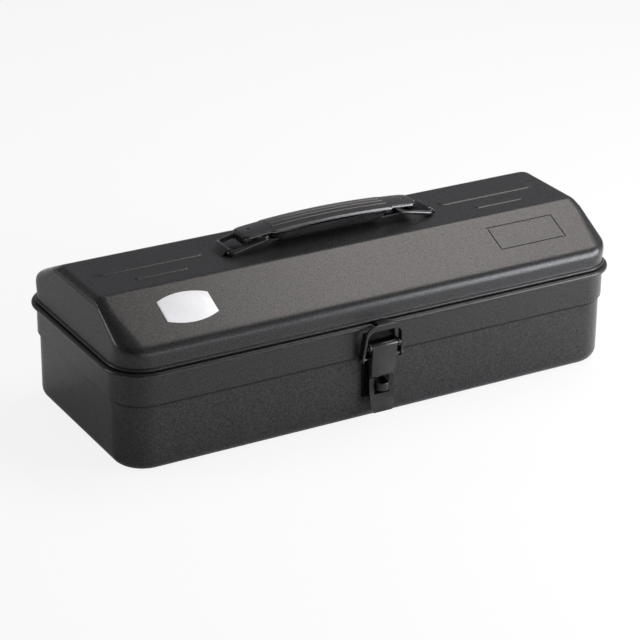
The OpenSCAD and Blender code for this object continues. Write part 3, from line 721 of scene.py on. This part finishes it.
def beadTree(size):  # beads along the arch, side by side on the bow of the cover
    tree, wire, given = startTree("archBeads", Count="Int", Pitch="Float", Half="Float", ArchRadius="Float",
                                  ArchUp="Float", BowRadius="Float", BowUp="Float", Bead="Float")
    first = wire.node("ShaderNodeCombineXYZ", inputs={"X": given["Half"] * -1})
    last = wire.node("ShaderNodeCombineXYZ", inputs={"X": given["Half"]})
    line = wire.node("GeometryNodeCurvePrimitiveLine", {"mode": "POINTS"}, {"Start": first, "End": last})
    line = wire.node("GeometryNodeResampleCurve", inputs={"Curve": line, "Count": size["ribPoints"]})
    place = wire.node("GeometryNodeInputPosition")
    x = axis(wire, place, "X")
    arch = given["ArchRadius"]
    rise = (arch * arch - x * x) ** 0.5 - arch + given["ArchUp"]
    lifted = wire.node("ShaderNodeCombineXYZ", inputs={"X": x, "Z": rise})
    arc = wire.node("GeometryNodeSetPosition", inputs={"Geometry": line, "Position": lifted})
    start = wire.node("ShaderNodeCombineXYZ", inputs={"Y": given["Pitch"] * (given["Count"] - 1) * -0.5})
    step = wire.node("ShaderNodeCombineXYZ", inputs={"Y": given["Pitch"]})
    marks = wire.node("GeometryNodeMeshLine", inputs={
        "Count": given["Count"], "Start Location": start, "Offset": step})
    y = axis(wire, place, "Y")
    crown = given["BowRadius"]
    bow = (crown * crown - y * y) ** 0.5 - crown + given["BowUp"]
    raised = wire.node("GeometryNodeSetPosition", inputs={
        "Geometry": marks, "Offset": wire.node("ShaderNodeCombineXYZ", inputs={"Z": bow})})
    laid = wire.node("GeometryNodeInstanceOnPoints", inputs={"Points": raised, "Instance": arc})
    laid = wire.node("GeometryNodeRealizeInstances", inputs={"Geometry": laid})
    run = wire.node("GeometryNodeSplineParameter", output="Factor")
    fade = run.maths("MINIMUM", run.maths("MINIMUM", run, 1 - run) * size["ribFade"], 1)
    section = wire.node("GeometryNodeCurvePrimitiveCircle", inputs={
        "Resolution": size["ribSides"], "Radius": given["Bead"]})
    swept = wire.node("GeometryNodeCurveToMesh", inputs={
        "Curve": laid, "Profile Curve": section, "Scale": fade ** 0.5 + size["ribTip"], "Fill Caps": True})
    endTree(wire, swept, given)
    return tree


def makeBeads(size):
    ribs = growMesh("coverRibs", beadTree(size), "handle_paint", Count=size["ribs"], Pitch=size["ribPitch"],
                    Half=size["ribHalf"], Bead=size["ribWire"], BowRadius=size["crownRadius"],
                    BowUp=size["crownUp"] - size["ribSink"],
                    ArchRadius=size["archRadius"], ArchUp=size["archUp"])
    addPiece("coverRibs", smoothMesh(ribs), bodyOf["handle_cover"], "handle_paint")


makeCover(coverSheet)
makeBeads(coverSheet)
print("handle cover done")

# hardware, tray and label: the solids with softened edges, each by its own width in millimetres
softEdges = {
    "latch_base": 0.3, "latch_lever": 0.32, "latch_loop": 0.35, "latch_staple": 0.4, "lid_catch": 0.3,
    "latch_pin": 0.3, "loop_pin": 0.22, "hinge_leaf_body_left": 0.28, "hinge_leaf_body_right": 0.28,
    "hinge_leaf_lid_left": 0.28, "hinge_leaf_lid_right": 0.28, "hinge_pin_left": 0.3, "hinge_pin_right": 0.3,
    "handle_bracket_left": 0.3, "handle_bracket_right": 0.3, "handle_belly": 0.25,
    "tray": 0.2, "tray_divider": 0.2, "label_blank": 0.05,
}
softening = {
    "merge": 0.002 * mm, "segments": 3,
    "flat": 0.4, "corner": 34, "smooth": 30,  # degrees
}

# the finger tab of the lever: a slow flare to a wide square end
# each width is a height, the half width of the solid there and that of the piece, in millimetres
fingerTab = {
    "neckUp": 27 * mm, "solidFlare": 24.3 * mm, "flare": 70 * mm, "stretchFrom": 19.5 * mm, "stretch": 1.35,
    "middle": bodyShell["latchX"], "half": 8.6 * mm,
    "widths": ((11, 4.6, 6.6), (13, 6.6, 8.4), (22, 8.6, 8.6)),
}


def shapeTab(size, verts):
    def between(z, column):
        rows = [[value * mm for value in row] for row in size["widths"]]
        for first, last in zip(rows, rows[1:]):
            if z <= last[0]:
                share = max((z - first[0]) / (last[0] - first[0]), 0)
                return first[column] + (last[column] - first[column]) * share
        return size["half"]

    def bow(radius, drop):
        return radius - math.sqrt(radius ** 2 - drop ** 2)

    for vert in verts:
        x, y, z = vert.co
        if z < size["neckUp"]:
            low = min(z, size["stretchFrom"])
            newUp = z - (size["stretchFrom"] - low) * (size["stretch"] - 1)
            y += bow(size["solidFlare"], size["neckUp"] - z) - bow(size["flare"], size["neckUp"] - newUp)
            x = size["middle"] + (x - size["middle"]) * between(z, 2) / between(z, 1)
            vert.co = (x, y, newUp)


def makeSoft(node, width, size):
    copy = bmesh.new()
    copy.from_mesh(nodes[node].data)
    bmesh.ops.remove_doubles(copy, verts=copy.verts, dist=size["merge"])
    flat = math.radians(size["flat"])
    bmesh.ops.dissolve_limit(copy, angle_limit=flat, verts=copy.verts, edges=copy.edges)
    if node == "latch_lever":
        shapeTab(fingerTab, copy.verts)
    mesh = bpy.data.meshes.new(node)
    copy.to_mesh(mesh)
    copy.free()
    mesh = finishMesh(mesh, ("BEVEL", {
        "width": width * mm, "segments": size["segments"], "limit_method": "ANGLE",
        "angle_limit": math.radians(size["corner"]), "miter_outer": "MITER_ARC"}))
    words = node.split("_") if "_" in node else [node, "shell"]  # a piece never has its node's name
    name = words[0] + "".join(word.capitalize() for word in words[1:])
    addPiece(name, smoothMesh(mesh, size["smooth"]), bodyOf[node], slotOf[node], node)


for node, width in softEdges.items():
    makeSoft(node, width, softening)
print("hardware done:", len(softEdges))

# stage: pale floor, four softboxes, dim surroundings that are darker in front
studio = {
    "floorHalf": 9.0, "floorShade": 0.9, "floorVary": 1.02, "floorCloud": 0.6,
    "floorGlow": 0.86, "mirrorGlow": 0.06, "lampTarget": (0, 0, 0.05),
    "zenith": (0.29, 0.29, 0.31, 1), "horizon": (0.29, 0.29, 0.315, 1),
    "front": (0.04, 0.04, 0.05, 1), "frontStops": (0.25, 0.75),
}
lamps = {  # place, size, watts, tint
    "overhead": ((0.64, 0.12, 1.05), (0.85, 0.58), 8.2, (1.0, 0.94, 0.90)),
    "side": ((0.62, -0.55, 0.22), (0.52, 0.38), 9.8, (0.93, 0.95, 1.0)),
    "left": ((-1.05, 0.50, 0.37), (0.25, 0.25), 2.2, (1.0, 0.99, 0.97)),
    "strip": ((0.02, -0.80, 0.17), (0.6, 0.1), 1.0, (0.94, 0.96, 1.0)),
}


def makeFloor(size):
    half = size["floorHalf"]
    mesh = bpy.data.meshes.new("floor")
    corners = [(-half, -half, 0), (half, -half, 0), (half, half, 0), (-half, half, 0)]
    mesh.from_pydata(corners, [], [(0, 1, 2, 3)])
    floor = bpy.data.objects.new("floor", mesh)
    scene.collection.objects.link(floor)
    material, wire, coords = startMaterial("paleFloor")
    cloud = noise(wire, coords, size["floorCloud"], detail=2.0)
    shade = size["floorShade"]
    colour = mixColour(wire, cloud, grey(shade), grey(shade * size["floorVary"]))
    lit = wire.node("ShaderNodeBsdfDiffuse", inputs={"Color": colour})
    glow = wire.node("ShaderNodeEmission", inputs={"Color": grey(1.0), "Strength": 1.0})
    rays = ("Is Camera Ray", "Is Transmission Ray", "Is Glossy Ray")
    seen = [wire.node("ShaderNodeLightPath", output=ray) for ray in rays]
    share = (seen[0] + seen[1]) * size["floorGlow"] + seen[2] * size["mirrorGlow"]
    both = wire.node("ShaderNodeMixShader", inputs={0: share, 1: lit, 2: glow})
    wire.tree.links.new(both.socket, wire.tree.nodes.new("ShaderNodeOutputMaterial").inputs["Surface"])
    mesh.materials.append(material)


def areaLamp(name, place, size, power, tint, target):
    lamp = bpy.data.lights.new(name, "AREA")
    lamp.shape = "RECTANGLE"
    lamp.size, lamp.size_y = size
    lamp.energy = power
    lamp.color = tint
    holder = bpy.data.objects.new(name, lamp)
    holder.location = place
    holder.rotation_euler = (Vector(target) - Vector(place)).to_track_quat("-Z", "Y").to_euler()
    scene.collection.objects.link(holder)


def makeWorld(size):
    world = bpy.data.worlds.new("studio")
    scene.world = world
    world.use_nodes = True
    world.node_tree.nodes.clear()
    wire = Wire(world.node_tree)
    direction = wire.node("ShaderNodeTexCoord", output="Generated")
    height = axis(wire, direction, "Z")
    behind = axis(wire, direction, "Y")
    lift = mixColour(wire, height, size["horizon"], size["zenith"])
    lift = mixColour(wire, ramp(wire, behind * 0.5 + 0.5, size["frontStops"]), size["front"], lift)
    sky = wire.node("ShaderNodeBackground", inputs={"Color": lift, "Strength": 1.0})
    wire.tree.links.new(sky.socket, wire.tree.nodes.new("ShaderNodeOutputWorld").inputs["Surface"])


makeFloor(studio)
for lampName, settings in lamps.items():
    areaLamp(lampName, *settings, studio["lampTarget"])
makeWorld(studio)

# camera, measured from the photograph's frame of 640 pixels
shot = {
    "azimuth": -29.841, "elevation": 24.324, "roll": 0.552,
    "focalPixels": 2417.0, "framePixels": 640, "sensor": 36,
    "distance": 1546.2 * mm, "aside": -3.1 * mm, "above": -19.8 * mm, "target": (0, 0, 60 * mm),
}


def makeCamera(size):
    a, e = math.radians(size["azimuth"]), math.radians(size["elevation"])
    back = Vector((math.sin(a) * math.cos(e), -math.cos(a) * math.cos(e), math.sin(e)))
    right = Vector((math.cos(a), math.sin(a), 0))
    turn = Matrix.Rotation(math.radians(size["roll"]), 3, back)
    right = turn @ right
    up = back.cross(right)
    lens = bpy.data.cameras.new("camera")
    lens.sensor_width = size["sensor"]
    lens.lens = size["focalPixels"] / size["framePixels"] * size["sensor"]
    camera = bpy.data.objects.new("camera", lens)
    place = Vector(size["target"]) + right * size["aside"] + up * size["above"] + back * size["distance"]
    camera.matrix_world = Matrix.Translation(place) @ Matrix((right, up, back)).transposed().to_4x4()
    scene.collection.objects.link(camera)
    scene.camera = camera


makeCamera(shot)
print("stage set")
